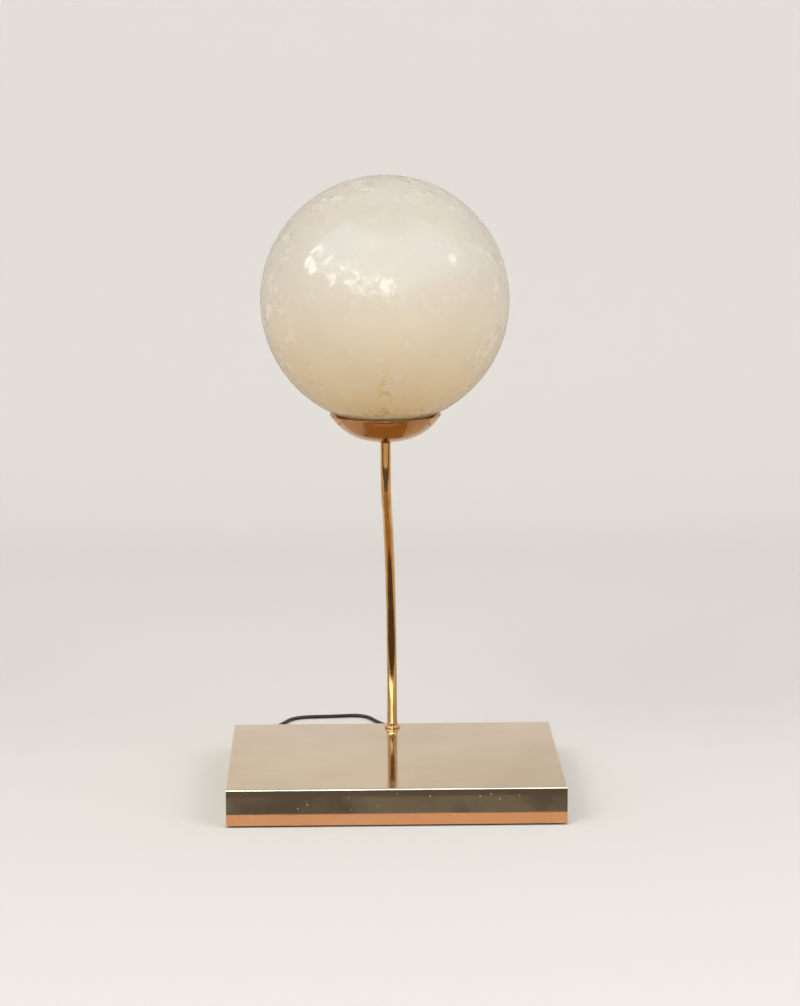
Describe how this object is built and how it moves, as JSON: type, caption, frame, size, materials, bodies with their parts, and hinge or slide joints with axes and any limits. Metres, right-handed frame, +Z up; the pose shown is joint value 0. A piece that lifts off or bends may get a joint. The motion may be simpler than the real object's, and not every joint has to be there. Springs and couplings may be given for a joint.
{
  "type": "glass globe table lamp",
  "caption": "Table lamp: frosted cream glass globe in a spun brass cup on a slim swan-neck brass stem over a polished rectangular box base, with a coiled cord and in-line switch.",
  "frame": {"origin": "on the supporting surface, under the middle of the rectangular base", "axes": "+Z up, -Y the lamp's front where the globe hangs forward, +Y its back where the stem and cord are, +X its right seen from the front"},
  "size_m": [0.342, 0.4842, 0.6442],
  "materials": {
    "base_plating": "polished, slightly warm nickel plate, lightly worn",
    "cover_steel": "matt black paint",
    "foot_rubber": "matt",
    "zinc_steel": "zinc plated",
    "stem_brass": "polished, aged to a warm tone",
    "cup_brass": "polished copper-toned brass with small tarnish marks",
    "globe_glass": "cream, blistered and pearly, translucent",
    "holder_brass": "polished",
    "holder_ceramic": "white glaze",
    "lamp_glass": "frosted inside",
    "lamp_cap_aluminium": "bright",
    "lamp_contact_glass": "black glass with a solder tip",
    "cable_sheath": "white cable sheath",
    "terminal_plastic": "natural",
    "cord_sheath": "black cord sheath, semi-matt",
    "bush_rubber": "moulded, matt",
    "tie_plastic": "matt",
    "switch_plastic": "moulded, low gloss",
    "plug_plastic": "moulded, low gloss",
    "pin_nickel": "nickel plated"
  },
  "bodies": {
    "lamp": {"base_shell": "base_plating", "base_cover": "cover_steel", "base_feet": "foot_rubber", "cover_lugs": "cover_steel", "cover_screws": "zinc_steel", "ballast_plate": "cover_steel", "ballast_screws": "zinc_steel", "stem_tube": "stem_brass", "stem_collar": "stem_brass", "stem_head_ring": "stem_brass", "stem_washer": "zinc_steel", "stem_lock_washer": "zinc_steel", "stem_nut": "zinc_steel", "gallery_cup": "cup_brass", "gallery_washer": "zinc_steel", "gallery_nut": "zinc_steel", "gallery_bushes": "cup_brass", "globe_gasket": "foot_rubber", "holder_cap": "holder_brass", "holder_insert": "holder_ceramic", "holder_shell": "holder_brass", "holder_screw_shell": "holder_brass", "holder_contact": "holder_brass", "inner_cable": "cable_sheath", "terminal_block": "terminal_plastic", "terminal_screws": "zinc_steel", "cord_inside": "cord_sheath", "strain_relief": "bush_rubber", "cord_lead": "cord_sheath", "switch_base": "switch_plastic", "switch_cover": "switch_plastic", "switch_pin": "zinc_steel", "switch_screws": "zinc_steel", "switch_contacts": "holder_brass", "cord_loop": "cord_sheath", "cord_coil": "cord_sheath", "cord_tie": "tie_plastic", "cord_tail": "cord_sheath", "plug_body": "plug_plastic", "plug_pins": "pin_nickel"},
    "globe": {"glass_globe": "globe_glass"},
    "lamp_contact": {"bulb_contact": "lamp_contact_glass"},
    "bulb": {"bulb_cap": "lamp_cap_aluminium", "bulb_glass": "lamp_glass"},
    "rocker": {"switch_rocker": "switch_plastic"},
    "gallery_screw_1_body": {"gallery_screw_1": "cup_brass"},
    "gallery_screw_2_body": {"gallery_screw_2": "cup_brass"},
    "gallery_screw_3_body": {"gallery_screw_3": "cup_brass"}
  },
  "joints": [
    {"name": "globe_lift", "type": "slide", "parent": "lamp", "child": "globe", "axis": [0, 0, 1], "range_m": [0, 0.16]},
    {"name": "bulb_rise", "type": "slide", "parent": "lamp", "child": "lamp_contact", "axis": [0, 0, 1], "range_m": [0, 0.0218]},
    {"name": "bulb_turn", "type": "hinge", "parent": "lamp_contact", "child": "bulb", "pos_m": [-0.00814, -0.03989, 0.47], "axis": [0, 0, 1], "range_deg": [0, 2160]},
    {"name": "gallery_screw_1_turn", "type": "hinge", "parent": "lamp", "child": "gallery_screw_1_body", "pos_m": [-0.00563, 0.00804, 0.39821], "axis": [0.0523, 0.9986, 0], "range_deg": [0, 1440]},
    {"name": "gallery_screw_2_turn", "type": "hinge", "parent": "lamp", "child": "gallery_screw_2_body", "pos_m": [-0.05091, -0.06168, 0.39821], "axis": [-0.891, -0.454, 0], "range_deg": [0, 1440]},
    {"name": "gallery_screw_3_turn", "type": "hinge", "parent": "lamp", "child": "gallery_screw_3_body", "pos_m": [0.03211, -0.06603, 0.39821], "axis": [0.8387, -0.5446, 0], "range_deg": [0, 1440]},
    {"name": "switch_rocker_tilt", "type": "hinge", "parent": "lamp", "child": "rocker", "pos_m": [0.09466, 0.20662, 0.0102], "axis": [0.9848, 0.1736, 0], "range_deg": [-16, 0]}
  ],
  "couplings": [
    {"joint": "bulb_rise", "follows": "bulb_turn", "m_per_rad": 0.000578}
  ]
}
